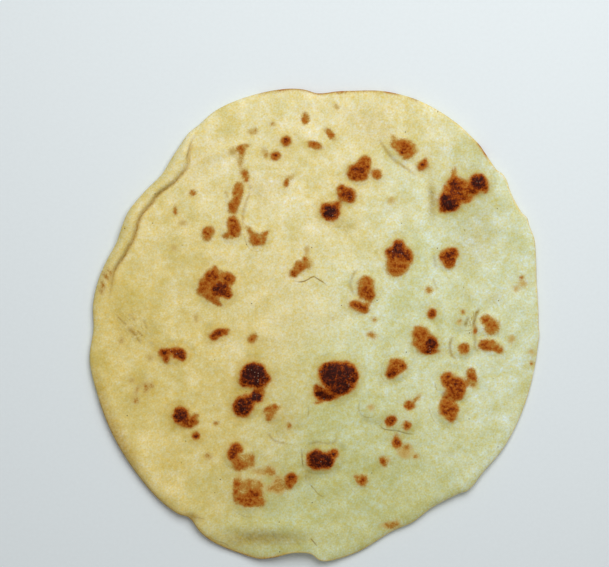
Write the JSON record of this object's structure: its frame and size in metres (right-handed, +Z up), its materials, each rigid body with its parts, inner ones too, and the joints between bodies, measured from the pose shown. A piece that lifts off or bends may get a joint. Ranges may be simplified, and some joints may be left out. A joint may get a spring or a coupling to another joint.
{
  "type": "naan",
  "caption": "Soft round flat bread with a hand-pressed wavy edge, a rolled-over rim at the upper left, a lifted arch at the front, and low browned blisters over its top.",
  "frame": {"origin": "on the surface the bread lies on, under the middle of its bounding box", "axes": "+Z up through the thickness, +Y towards the far edge with the small notch, away from the lifted arch, +X to the right as seen from above"},
  "size_m": [0.2164, 0.2272, 0.0083],
  "materials": {
    "bread": "matte"
  },
  "bodies": {
    "root": {"naan": "bread"}
  },
  "joints": []
}
